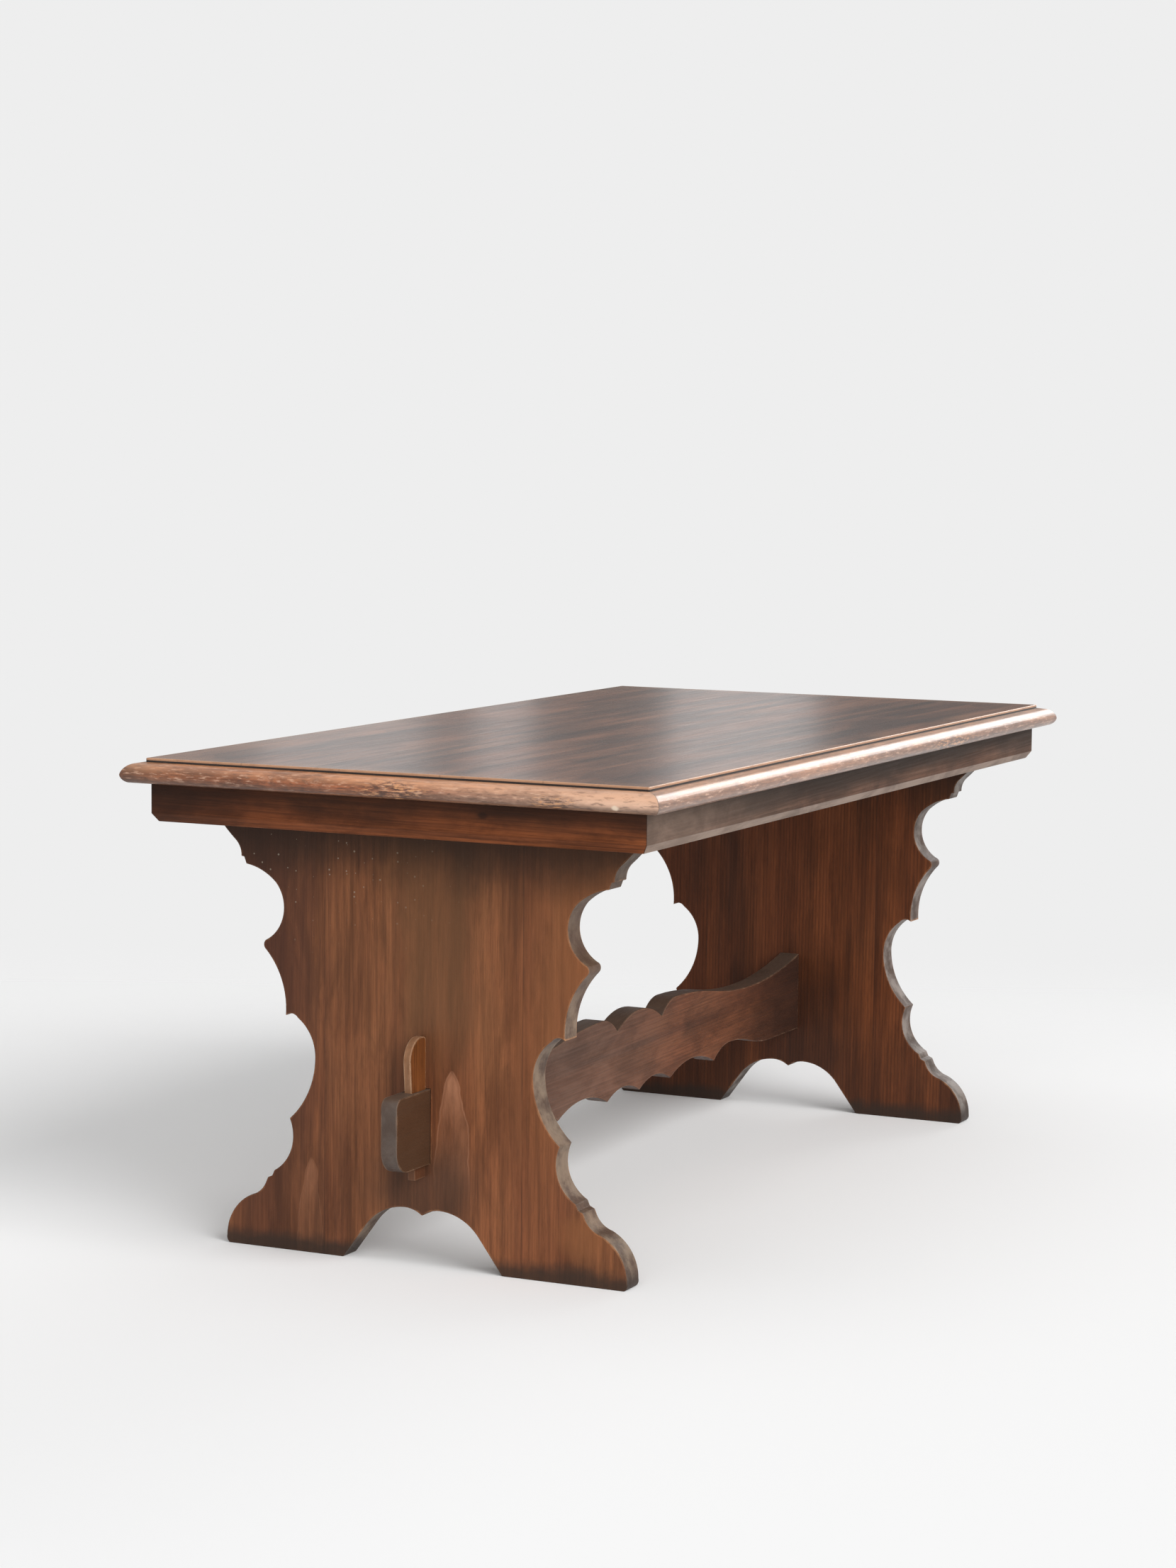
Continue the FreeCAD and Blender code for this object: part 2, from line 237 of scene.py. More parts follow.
walnutFigure = makeWalnutFigure()
rubbedEdge = makeRubbedEdge()
print("shared effects ready")

# How the walnut of each part looks. Colours are linear, and a part's own look changes only what differs.
walnutLook = {
    "light": (0.225, 0.088, 0.040, 1), "dark": (0.072, 0.027, 0.014, 1), "red": (0.200, 0.062, 0.026, 1),
    "ringScale": 50.0, "waver": 2.5, "stripeScale": 16.0, "pith": (0.0, 0.55, 0.16), "tilt": 1.0,
    "ringShare": 0.3, "redShare": 0.6, "fibreShare": 1.0, "poreShare": 0.45,
    "mottleShare": 0.22, "mottleScale": 19.0, "mottleDraw": 0.37,
    "sawn": (0.15, 0.088, 0.060, 1), "sawnDark": (0.070, 0.042, 0.030, 1),
    "sawnAxis": None, "sawnShare": 0.7, "sawnFade": None,  # the fade darkens sawn edges between two heights
    "dust": (0.30, 0.215, 0.155, 1), "dustShare": 0.0,
    "rub": (0.36, 0.19, 0.105, 1), "rubRadius": 0.003, "rubShare": 0.7, "patchiness": 0.6,
    "joints": None, "jointShare": 0.6, "grimeHeight": 0.0, "rawBelow": None,
    "rough": (0.42, 0.58), "specular": 0.16, "wax": 0.0, "waxRough": 0.2, "bump": 0.25, "dents": 0.0,
}
glueLine = {
    "colour": (0.018, 0.011, 0.008, 1), "width": (0.0016, 0.0004), "unrubbed": (0.005, 0.009), "closed": 0.25,
}
grime = {"colour": (0.030, 0.020, 0.015, 1), "share": 0.85, "top": 0.65, "full": -0.15}
relief = {"depth": 0.0006, "pores": 0.8, "dentScale": 70.0}
rawRoughness = 0.8


# Distance to the nearest glue joint, at a place along Y, or to the mitres of a frame
def jointGap(tree, place, joints):
    x, y = axes(tree, place)[:2]
    if joints == "mitres":
        along = minus(tree, cadHigh.x - cadHigh.y, sizeOf(tree, x))
        return sizeOf(tree, plus(tree, along, sizeOf(tree, y)))
    gap = 1.0
    for joint in joints:
        gap = calc(tree, 'MINIMUM', gap, sizeOf(tree, minus(tree, y, joint)))
    return gap


# The figure at a place: the grain is turned along X, and the pith lies off the board, at a slant
def figureAt(tree, place, grain, settings):
    turned = addNode(tree, 'ShaderNodeMapping', vector_type='POINT')
    feedAll(tree, turned, {"Vector": place, "Rotation": grainAlong[grain]})
    leaning = addNode(tree, 'ShaderNodeMapping', vector_type='POINT')
    slant = math.radians(settings["tilt"])
    feedAll(tree, leaning, {"Vector": turned.outputs[0], "Location": settings["pith"],
                            "Rotation": (0, slant, slant / 2)})
    return useGroup(tree, walnutFigure, Vector=leaning.outputs[0], RingScale=settings["ringScale"],
                    Waver=settings["waver"], StripeScale=settings["stripeScale"],
                    MottleScale=settings["mottleScale"], MottleDraw=settings["mottleDraw"])


# The wood itself: stripes, red clouds and late rings, shaded by fibres and mottling, then the pores
def figureColour(tree, figure, settings):
    colour = blendColour(tree, figure["Stripes"], settings["dark"], settings["light"])
    red = times(tree, figure["Clouds"], settings["redShare"])
    colour = blendColour(tree, red, colour, settings["red"])
    late = times(tree, ease(tree, figure["Rings"], 0.45, 1.0), settings["ringShare"])
    colour = blendColour(tree, late, colour, settings["dark"])
    fine, broad = settings["fibreShare"], settings["mottleShare"]
    shade = times(tree, ease(tree, figure["Fibres"], 0.25, 0.75, 1 - 0.26 * fine, 1 + 0.22 * fine),
                  ease(tree, figure["Mottle"], 0.0, 1.0, 1 - broad, 1 + broad))
    grey = addNode(tree, 'ShaderNodeCombineColor')
    for channel in grey.inputs:
        feed(tree, channel, shade)
    colour = blendColour(tree, 1.0, colour, grey.outputs[0], 'MULTIPLY')
    pores = times(tree, figure["Pores"], settings["poreShare"])
    return blendColour(tree, pores, colour, settings["dark"])


# What use adds: dull blotched sawn edges, dust on top, glue lines, rubbed arrises and grime along the floor
def usedColour(tree, place, colour, figure, settings):
    height = axes(tree, place)[2]
    if settings["sawnAxis"] is not None:
        flat = sizeOf(tree, facing(tree)[settings["sawnAxis"]])
        sawn = times(tree, ease(tree, flat, 0.75, 0.35), settings["sawnShare"])
        blotch = ease(tree, noise(tree, place, 24.0, 4.0, 0.65), 0.36, 0.64)
        if settings["sawnFade"]:
            blotch = times(tree, blotch, ease(tree, height, *settings["sawnFade"]))
        blotched = blendColour(tree, blotch, settings["sawnDark"], settings["sawn"])
        colour = blendColour(tree, sawn, colour, blotched)
    if settings["dustShare"]:
        settled = ease(tree, facing(tree)[2], 0.45, 0.95, 0.0, settings["dustShare"])
        settled = times(tree, settled, ease(tree, figure["Mottle"], 0.0, 0.7, 0.55, 1.0))
        colour = blendColour(tree, settled, colour, settings["dust"])
    rub = useGroup(tree, rubbedEdge, Vector=place, Radius=settings["rubRadius"],
                   Patchiness=settings["patchiness"])["Rub"]
    rub = times(tree, rub, settings["rubShare"])
    if settings["joints"]:
        gap = jointGap(tree, place, settings["joints"])
        rub = times(tree, rub, ease(tree, gap, *glueLine["unrubbed"]))
        most = settings["jointShare"]
        openness = ease(tree, noise(tree, place, 11.0, 3.0), 0.35, 0.62, glueLine["closed"] * most, most)
        line = times(tree, ease(tree, gap, *glueLine["width"]), openness)
        colour = blendColour(tree, line, colour, glueLine["colour"])
    colour = blendColour(tree, rub, colour, settings["rub"])
    deep = settings["grimeHeight"]
    if deep:
        level = plus(tree, height, times(tree, noise(tree, place, 22.0, 4.0, 0.6), -deep))
        dirty = ease(tree, level, deep * grime["top"], deep * grime["full"], 0.0, grime["share"])
        colour = blendColour(tree, dirty, colour, grime["colour"])
    return colour


# Marks of a piece come before its wear (marks) or after it (lastMarks)
def walnutMaterial(name, grain, look, marks=None, lastMarks=None):
    settings = dict(walnutLook, **look)
    material, tree, place = newMaterial(name)
    figure = figureAt(tree, place, grain, settings)
    colour = figureColour(tree, figure, settings)
    if marks:
        colour = marks(tree, place, colour, figure)
    colour = usedColour(tree, place, colour, figure, settings)
    if lastMarks:
        colour = lastMarks(tree, place, colour, figure)
    smooth, dull = settings["rough"]
    rough = ease(tree, figure["Fibres"], 0.25, 0.75, dull, smooth)
    if settings["rawBelow"]:  # never polished underneath
        below = ease(tree, facing(tree)[2], -0.4, -0.7)
        raw = blendColour(tree, figure["Fibres"], *settings["rawBelow"])
        colour = blendColour(tree, below, colour, raw)
        rough = calc(tree, 'MAXIMUM', rough, times(tree, below, rawRoughness))
    height = minus(tree, figure["Fibres"], times(tree, figure["Pores"], relief["pores"]))
    if settings["dents"]:
        dents = noise(tree, place, relief["dentScale"], 3.0)
        height = plus(tree, height, times(tree, dents, settings["dents"]))
    bump = addNode(tree, 'ShaderNodeBump')
    feedAll(tree, bump, {"Strength": settings["bump"], "Distance": relief["depth"], "Height": height})
    feedAll(tree, tree.nodes["Principled BSDF"], {
        "Base Color": colour, "Roughness": rough, "Normal": bump.outputs[0],
        "Specular IOR Level": settings["specular"],
        "Coat Weight": settings["wax"], "Coat Roughness": settings["waxRough"],
    })
    return material


# A piece made from its node: merged, its flats cleaned up and its arrises eased, then put in the node's place
easedEdge = {
    "mergeWithin": 0.00002, "flatAngle": 0.5, "sharpAngle": 32.0,
    "steps": 2, "profile": 0.6, "smoothAngle": 40.0,
}
touching = 0.0002  # how near a corner lies to a joint's plane to be on it


def onMitre(corner):
    return abs((cadHigh.x - abs(corner.x)) - (cadHigh.y - abs(corner.y))) < touching


def liesInJoint(mesh, edge, onJoint):
    start, end = (mesh.vertices[index].co for index in edge.vertices)
    return all(onJoint(corner) for corner in (start, (start + end) / 2, end))


def easedPiece(node, body, material, width, onJoint=None):
    bpy.ops.object.select_all(action='DESELECT')
    piece = bpy.data.objects.new(node + "_eased", nodes[node].data.copy())
    scene.collection.objects.link(piece)
    bpy.context.view_layer.objects.active = piece
    piece.select_set(True)
    bpy.ops.object.mode_set(mode='EDIT')
    bpy.ops.mesh.select_mode(type='EDGE')
    bpy.ops.mesh.select_all(action='SELECT')
    bpy.ops.mesh.remove_doubles(threshold=easedEdge["mergeWithin"])
    bpy.ops.mesh.dissolve_limited(angle_limit=math.radians(easedEdge["flatAngle"]))
    bpy.ops.mesh.select_all(action='DESELECT')
    bpy.ops.mesh.edges_select_sharp(sharpness=math.radians(easedEdge["sharpAngle"]))
    bpy.ops.object.mode_set(mode='OBJECT')
    mesh = piece.data
    arrises = [edge.index for edge in mesh.edges if edge.select]
    if onJoint:  # glued joints and mitres stay tight
        arrises = [index for index in arrises if not liesInJoint(mesh, mesh.edges[index], onJoint)]
    for parts in (mesh.vertices, mesh.edges, mesh.polygons):
        parts.foreach_set("select", [False] * len(parts))
    for index in arrises:
        mesh.edges[index].select = True
    bpy.ops.object.mode_set(mode='EDIT')
    bpy.ops.mesh.bevel(offset=width, segments=easedEdge["steps"], profile=easedEdge["profile"],
                       affect='EDGES', clamp_overlap=False)
    bpy.ops.object.mode_set(mode='OBJECT')
    bpy.ops.object.shade_smooth_by_angle(angle=math.radians(easedEdge["smoothAngle"]))
    flatten = piece.modifiers.new("flatFaces", 'WEIGHTED_NORMAL')
    flatten.keep_sharp = True
    bpy.ops.object.modifier_apply(modifier=flatten.name)
    mesh.materials.clear()
    mesh.materials.append(material)
    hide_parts(node)
    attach(piece, body)


# Four mitred pieces round the top: front and back with one look and its marks, the two ends with another
def dressFrame(kind, longSides, ends):
    for side, grain, (look, marks) in (("front", "x", longSides), ("right", "y", ends),
                                       ("back", "x", longSides), ("left", "y", ends)):
        node = side + kind
        material = walnutMaterial(node + "_walnut", grain, look, marks)
        easedPiece(node, "table", material, look["easing"], onMitre)


# Soot and painted shade under an overhang, thickening upward between two heights, with an uneven edge
def sootedAndShaded(tree, place, colour, layer):
    drift = minus(tree, noise(tree, place, 9.0, 4.0, 0.6), 0.5)
    drift = times(tree, drift, layer["high"] - layer["low"])
    height = plus(tree, axes(tree, place)[2], drift)
    share = ease(tree, height, layer["low"], layer["high"], 0.0, layer["share"])
    return blendColour(tree, share, colour, layer["colour"])


# A soft round patch of another colour, with an uneven edge
def patched(tree, place, colour, middle, reach, patchColour, share):
    offset = calcVector(tree, 'SUBTRACT', place, middle)
    distance = calcVector(tree, 'LENGTH', stretched(tree, offset, [1 / size for size in reach]))
    uneven = minus(tree, noise(tree, place, 0.9 / max(reach), 4.0, 0.65), 0.5)
    edge = plus(tree, distance, uneven)
    return blendColour(tree, ease(tree, edge, 1.0, 0.35, 0.0, share), colour, patchColour)


# Polish gone grey with age, from one place along X to another
def bloomed(tree, place, colour, figure, bloom):
    share = ease(tree, axes(tree, place)[0], bloom["from"], bloom["to"], 0.0, bloom["share"])
    share = times(tree, share, ease(tree, figure["Mottle"], 0.0, 1.0, bloom["least"], 1.0))
    return blendColour(tree, share, colour, bloom["colour"])


# Top: five boards with their grain along the table, polished on top, rubbed along its edge and raw below
panelLook = {
    "light": (0.215, 0.095, 0.052, 1), "dark": (0.036, 0.017, 0.011, 1), "red": (0.120, 0.044, 0.022, 1),
    "ringScale": 34.0, "stripeScale": 24.0, "ringShare": 0.35, "fibreShare": 0.7, "poreShare": 0.3,
    "mottleShare": 0.36, "mottleScale": 13.0, "mottleDraw": 0.22, "rubShare": 0.0, "jointShare": 0.4,
    "rough": (0.22, 0.28), "specular": 0.35, "bump": 0.015, "easing": 0.0018,
    "rawBelow": ((0.11, 0.070, 0.045, 1), (0.23, 0.155, 0.10, 1)),
}
panelPiths = [
    (0.0, 0.33, 0.50), (0.6, 0.17, -0.86), (1.3, 0.02, 0.60), (2.1, -0.18, -0.90), (2.9, -0.34, 0.50),
]
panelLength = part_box("top_board_3")[1].x
panelWidth = cadHigh.y - (cadHigh.x - panelLength)
panelEdge = {
    "border": (0.34, 0.175, 0.100, 1), "borderWidth": 0.070, "borderShare": 0.42,
    "rubbed": (0.50, 0.275, 0.160, 1), "rubbedWidth": 0.005, "rubbedShare": 0.85,
    # The step colour is painted shade and grime in the step down to the moulding
    "dirtAndShade": (0.016, 0.010, 0.008, 1), "dirtAndShadeHeight": 0.0040, "dirtAndShadeWidth": (0.003, 0.001),
}


def panelMarks(tree, place, colour, figure):
    x, y, z = (sizeOf(tree, value) for value in axes(tree, place))
    inward = calc(tree, 'MINIMUM', minus(tree, panelLength, x), minus(tree, panelWidth, y))
    uneven = ease(tree, noise(tree, place, 7.0, 4.0, 0.6), 0.35, 0.65)
    border = ease(tree, inward, panelEdge["borderWidth"], 0.0, 0.0, panelEdge["borderShare"])
    colour = blendColour(tree, times(tree, border, uneven), colour, panelEdge["border"])
    patch = ease(tree, noise(tree, place, 30.0, 4.0, 0.6), 0.25, 0.55, 0.5, panelEdge["rubbedShare"])
    rubbed = ease(tree, inward, panelEdge["rubbedWidth"], panelEdge["rubbedWidth"] * 0.4)
    colour = blendColour(tree, times(tree, rubbed, patch), colour, panelEdge["rubbed"])
    deep = panelEdge["dirtAndShadeHeight"]
    step = times(tree, ease(tree, inward, *panelEdge["dirtAndShadeWidth"]),
                 ease(tree, z, cadHigh.z - deep * 0.8, cadHigh.z - deep))
    return blendColour(tree, step, colour, panelEdge["dirtAndShade"])  # painted shade and grime in the step down to the moulding


def dressTop():
    for number, pith in enumerate(panelPiths, 1):
        node = "top_board_%d" % number
        low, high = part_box(node)
        joints = [edge for edge in (low.y, high.y) if abs(edge) < cadHigh.y * 0.9]  # not the outer edges

        def onJoint(corner):
            return any(abs(corner.y - edge) < touching for edge in joints)

        look = dict(panelLook, pith=pith, joints=joints)
        material = walnutMaterial(node + "_walnut", "x", look, panelMarks)
        easedPiece(node, "table", material, panelLook["easing"], onJoint)
    print("top dressed")


# Edge moulding: browned and polished, worn pale toward the near corner, bruised and scratched on its round,
# with a painted highlight on top of the round and painted shade under the nose and in the gutter
mouldingLook = {
    "light": (0.49, 0.200, 0.090, 1), "dark": (0.115, 0.040, 0.018, 1), "red": (0.33, 0.102, 0.040, 1),
    "rub": (0.60, 0.37, 0.24, 1), "rubRadius": 0.005, "rubShare": 0.3, "mottleShare": 0.38,
    "ringScale": 60.0, "ringShare": 0.4, "stripeScale": 55.0, "joints": "mitres", "easing": 0.0008,
    "rough": (0.26, 0.36), "specular": 0.5, "bump": 0.2, "dents": 2.0,
}
longMouldingLook = dict(
    mouldingLook, light=(0.37, 0.178, 0.098, 1), dark=(0.15, 0.068, 0.036, 1), red=(0.29, 0.125, 0.062, 1),
    mottleShare=0.22, specular=0.9, rough=(0.27, 0.36), wax=0.2)
bruises = {
    # Dirt and painted shade; the hollow is painted shade under the nose, and the colour on top of the round
    # is a painted highlight
    "dirtAndShade": (0.040, 0.019, 0.012, 1), "endNoseShade": 0.6, "longNoseShade": 0.25, "hollow": (0.026, 0.034),
    "paintedGloss": (0.62, 0.300, 0.145, 1), "paintedGlossShare": 0.42, "paintedGlossDepth": (0.024, 0.012),
    "bare": (0.74, 0.47, 0.33, 1), "bareShare": 0.28, "bareDraw": (24, 24, 60),
    "gutterWidth": 0.0045, "gutterShare": 0.9,
    "cornerReach": 0.54, "cornerShare": 0.9, "shadedCorner": (0.35, 0.45), "shadedCornerShare": 0.65,
    "dashShare": 0.50, "paleDashShare": 0.45, "endDashes": (230, 50, 230), "longDashes": (40, 230, 230),
    "scrape": (0.045, 0.020, 0.012, 1), "fresh": (0.66, 0.33, 0.15, 1), "scrapeShare": 0.75,
    "scrapeDraw": (60, 60, 420),
    "scrapes": [((-0.893, -0.02, 0.755), (0.03, 0.085, 0.02)), ((-0.893, -0.29, 0.752), (0.03, 0.06, 0.015)),
                ((0.35, -0.461, 0.752), (0.16, 0.03, 0.02)), ((-0.45, 0.461, 0.752), (0.14, 0.03, 0.02)),
                ((0.893, 0.16, 0.752), (0.03, 0.10, 0.02))],  # middle and reach of each scraped place
    "chip": (0.78, 0.62, 0.47, 1), "chipShare": 0.95,
    "chips": [((-0.893, -0.390, 0.7495), (0.012, 0.008, 0.005)),
              ((0.893, 0.33, 0.751), (0.012, 0.007, 0.004))],
}


# Short dark and pale dashes along the grain
def dashed(tree, place, colour, drawn):
    dashes = noise(tree, stretched(tree, place, drawn), 1.0, 3.0, 0.6)
    dark = ease(tree, dashes, 0.52, 0.68, 0.0, bruises["dashShare"])
    colour = blendColour(tree, dark, colour, bruises["dirtAndShade"])
    pale = ease(tree, dashes, 0.46, 0.32, 0.0, bruises["paleDashShare"])
    return blendColour(tree, pale, colour, bruises["bare"])


# Scraped places show dark lines and lines of fresh wood
def scraped(tree, place, colour):
    lines = noise(tree, stretched(tree, place, bruises["scrapeDraw"]), 1.0, 3.0, 0.7)
    for middle, reach in bruises["scrapes"]:
        for tone, limits in ((bruises["scrape"], (0.50, 0.57)), (bruises["fresh"], (0.47, 0.40))):
            marked = patched(tree, place, colour, middle, reach, tone, bruises["scrapeShare"])
            colour = blendColour(tree, ease(tree, lines, *limits), colour, marked)
    return colour


def mouldingMarks(tree, place, colour, figure, noseShade):
    x, y, z = axes(tree, place)
    low, high = (cadHigh.z - depth for depth in bruises["paintedGlossDepth"])
    paintedGloss = ease(tree, z, low, high, 0.0, bruises["paintedGlossShare"])  # painted highlight along the top of the round
    paintedGloss = times(tree, paintedGloss, ease(tree, figure["Mottle"], 0.2, 0.8, 0.4, 1.0))
    colour = blendColour(tree, paintedGloss, colour, bruises["paintedGloss"])
    bare = ease(tree, noise(tree, stretched(tree, place, bruises["bareDraw"]), 1.0, 5.0, 0.7), 0.58, 0.72)
    colour = blendColour(tree, times(tree, bare, bruises["bareShare"]), colour, bruises["bare"])
    high, low = (cadHigh.z - depth for depth in bruises["hollow"])
    hollow = ease(tree, z, high, low, 0.0, noseShade)  # painted shade under the nose
    colour = blendColour(tree, hollow, colour, bruises["dirtAndShade"])
    beyond = calc(tree, 'MAXIMUM', minus(tree, sizeOf(tree, x), panelLength),
                  minus(tree, sizeOf(tree, y), panelWidth))
    width = bruises["gutterWidth"]
    gutter = ease(tree, beyond, width, width * 0.4, 0.0, bruises["gutterShare"])  # painted shadow and grime in the gutter along the panel
    colour = blendColour(tree, gutter, colour, bruises["dirtAndShade"])
    colour = scraped(tree, place, colour)
    for middle, reach in bruises["chips"]:
        colour = patched(tree, place, colour, middle, reach, bruises["chip"], bruises["chipShare"])
    return colour


# The ends are worn pale toward the front corner, with painted shade toward the back one
def endMouldingMarks(tree, place, colour, figure):
    y = axes(tree, place)[1]
    worn = times(tree, ease(tree, y, bruises["cornerReach"] - cadHigh.y, -cadHigh.y),
                 ease(tree, figure["Mottle"], 0.1, 0.7, 0.6, 1.0))
    colour = blendColour(tree, times(tree, worn, bruises["cornerShare"]), colour, bruises["bare"])
    # Painted shade toward the back corner
    backCornerShade = ease(tree, y, *bruises["shadedCorner"], 0.0, bruises["shadedCornerShare"])
    colour = dashed(tree, place, blendColour(tree, backCornerShade, colour, bruises["dirtAndShade"]), bruises["endDashes"])
    return mouldingMarks(tree, place, colour, figure, bruises["endNoseShade"])


def longMouldingMarks(tree, place, colour, figure):
    colour = dashed(tree, place, colour, bruises["longDashes"])
    return mouldingMarks(tree, place, colour, figure, bruises["longNoseShade"])


# Apron: browner on the ends, greyer on the long sides, with soot and painted shade under the moulding, rubbed
# along its foot, with a painted reflection on the long sides' foot and painted shade toward the ends' back
# corner
apronLook = {
    "light": (0.195, 0.058, 0.019, 1), "dark": (0.050, 0.017, 0.008, 1), "red": (0.24, 0.066, 0.020, 1),
    "rub": (0.24, 0.12, 0.07, 1), "rubRadius": 0.004, "rubShare": 0.4, "stripeScale": 34.0,
    "mottleShare": 0.3, "specular": 0.10, "joints": "mitres", "easing": 0.0010,
}
longApronLook = dict(
    apronLook, light=(0.104, 0.057, 0.037, 1), dark=(0.044, 0.024, 0.017, 1), red=(0.098, 0.043, 0.025, 1),
    rub=(0.32, 0.24, 0.18, 1), rough=(0.40, 0.52), specular=0.06)
apronSootAndShade = {"low": 0.688, "high": 0.732, "share": 0.75, "colour": (0.024, 0.012, 0.008, 1)}
longApronSootAndShade = dict(apronSootAndShade, low=0.690, high=0.728, share=0.9, colour=(0.030, 0.018, 0.012, 1))
# A dark knot, as middle, reach, colour and share
apronKnot = ((-0.853, -0.156, 0.722), (0.03, 0.013, 0.008), (0.014, 0.008, 0.006, 1), 0.65)
apronShade = {"colour": (0.020, 0.010, 0.007, 1), "from": 0.10, "to": 0.44, "share": 0.6}
apronFootReflection = {"colour": (0.30, 0.225, 0.180, 1), "share": 0.82}
apronBloom = {"colour": (0.24, 0.165, 0.125, 1), "from": -0.20, "to": -0.88, "share": 0.60, "least": 0.55}


def endApronMarks(tree, place, colour, figure):
    colour = sootedAndShaded(tree, place, colour, apronSootAndShade)
    y = axes(tree, place)[1]
    backShade = ease(tree, y, apronShade["from"], apronShade["to"], 0.0, apronShade["share"])
    colour = blendColour(tree, backShade, colour, apronShade["colour"])  # painted shade toward the back corner
    return patched(tree, place, colour, *apronKnot)


def longApronMarks(tree, place, colour, figure):
    colour = sootedAndShaded(tree, place, colour, longApronSootAndShade)
    colour = bloomed(tree, place, colour, figure, apronBloom)
    # Painted reflection of the pale floor on the down-facing bevel along the foot
    footReflection = ease(tree, times(tree, facing(tree)[2], -1.0), 0.2, 0.5, 0.0, apronFootReflection["share"])
    footReflection = times(tree, footReflection, ease(tree, figure["Mottle"], 0.0, 0.8, 0.5, 1.0))
    return blendColour(tree, footReflection, colour, apronFootReflection["colour"])


# Trestles: upright boards, with dull sawn edges, soot and painted shade under the top, and dirt along the
# floor
trestleLook = {
    "light": (0.208, 0.080, 0.033, 1), "dark": (0.092, 0.034, 0.016, 1), "red": (0.180, 0.058, 0.023, 1),
    "sawn": (0.195, 0.150, 0.108, 1), "sawnDark": (0.055, 0.041, 0.032, 1), "sawnAxis": 0, "sawnShare": 0.82,
    "sawnFade": (0.38, 0.50, 1.0, 0.45), "grimeHeight": 0.031, "stripeScale": 17.0, "ringShare": 0.36,
    "fibreShare": 0.75, "mottleShare": 0.28, "mottleScale": 24.0, "mottleDraw": 0.18, "jointShare": 0.35,
    "rub": (0.42, 0.205, 0.095, 1), "rubRadius": 0.006, "rubShare": 0.8, "patchiness": 2.5, "easing": 0.0014,
}
# The far trestle's look is a darker copy of the trestle wood: painted shade for the far trestle under the top
farShadedTrestleLook = dict(
    trestleLook, light=(0.168, 0.052, 0.018, 1), dark=(0.048, 0.017, 0.008, 1), red=(0.142, 0.038, 0.012, 1),
    stripeScale=23.0, ringShare=0.45, mottleShare=0.22, sawn=(0.225, 0.200, 0.180, 1), sawnFade=None)
trestlePiths = {
    "front": (0.2, 0.75, 0.55), "centre": (0.9, 0.55, 0.60), "back": (1.7, -0.78, 0.64),
}
farPithShift = 0.37
sootAndShade = {"low": 0.568, "high": 0.672, "share": 0.8, "colour": (0.030, 0.016, 0.010, 1)}
patinaAndShade = {  # places are across the board, heights are limits of an ease
    # The dark colour down the back board is painted shade
    "stray": 0.34, "sideShade": (0.055, 0.021, 0.014, 1), "sideShadeShare": 0.6, "sideShadePlace": (0.11, 0.24),
    "sideShadeHeight": (0.04, 0.26, 0.45, 1.0), "handled": (0.245, 0.092, 0.034, 1), "handledShare": 0.6,
    "handledPlace": (-0.10, -0.27), "handledHeight": (0.10, 0.36, 0.1, 1.0), "dull": (0.150, 0.068, 0.029, 1),
    "dullShare": 0.6, "dullMiddle": -0.03, "dullWidth": (0.13, 0.02), "dullHeight": (0.26, 0.42),
}
nearPatches = [  # dirt over the arch, a handled foot: middle in Y and Z, reach, colour and share
    (0.0, 0.12, (0.3, 0.15, 0.11), (0.050, 0.026, 0.016, 1), 0.66),
    (-0.272, 0.075, (0.3, 0.065, 0.050), patinaAndShade["handled"], 0.5),
]
sapwood = {
    "colour": (0.37, 0.166, 0.090, 1), "edge": (0.36, 0.165, 0.092, 1), "edgeShare": 0.55, "wander": 0.019,
    "flames": [(-0.053, 0.032, 0.09, 0.314, 0.36, 1.0), (0.199, 0.022, -0.06, 0.154, 0.55, 0.40)],
}  # middle, half width, foot, tip, the tip's share of the width, and strength
specks = {
    "colour": (0.40, 0.34, 0.26, 1), "scale": 66.0, "size": 0.13, "share": 0.55,
    "chosen": 0.62, "soft": -0.06, "above": (0.45, 0.62), "across": (-0.12, 0.2),
}
farTrestleShading = {
    "stray": 0.2, "sideShadeShare": 0.2, "sideShadePlace": (-0.06, 0.10), "shadow": (0.022, 0.011, 0.008, 1),
    "socketShare": 0.6, "socketReach": (0.3, 0.12, 0.20), "socketAlong": 0.8, "socketAside": -0.03,
    "socketBelow": 0.08, "footHeight": 0.24, "footShare": 0.34,
}


# Place across a board, led astray by a slow noise that is drawn out along the grain
def straying(tree, place, amount):
    slow = minus(tree, noise(tree, stretched(tree, place, (9, 9, 2.4)), 1.0, 5.0, 0.62), 0.5)
    return plus(tree, axes(tree, place)[1], times(tree, slow, amount))


# Years of dull polish in the middle, painted shade down the back board, handled edges on the front board
def agedBoards(tree, place, colour):
    z = axes(tree, place)[2]
    across = straying(tree, place, patinaAndShade["stray"])
    for kind in ("sideShade", "handled"):
        share = ease(tree, across, *patinaAndShade[kind + "Place"], 0.0, patinaAndShade[kind + "Share"])
        share = times(tree, share, ease(tree, z, *patinaAndShade[kind + "Height"]))
        colour = blendColour(tree, share, colour, patinaAndShade[kind])
    middle = ease(tree, sizeOf(tree, minus(tree, across, patinaAndShade["dullMiddle"])), *patinaAndShade["dullWidth"])
    upper = ease(tree, z, *patinaAndShade["dullHeight"], 0.0, patinaAndShade["dullShare"])
    return blendColour(tree, times(tree, middle, upper), colour, patinaAndShade["dull"])


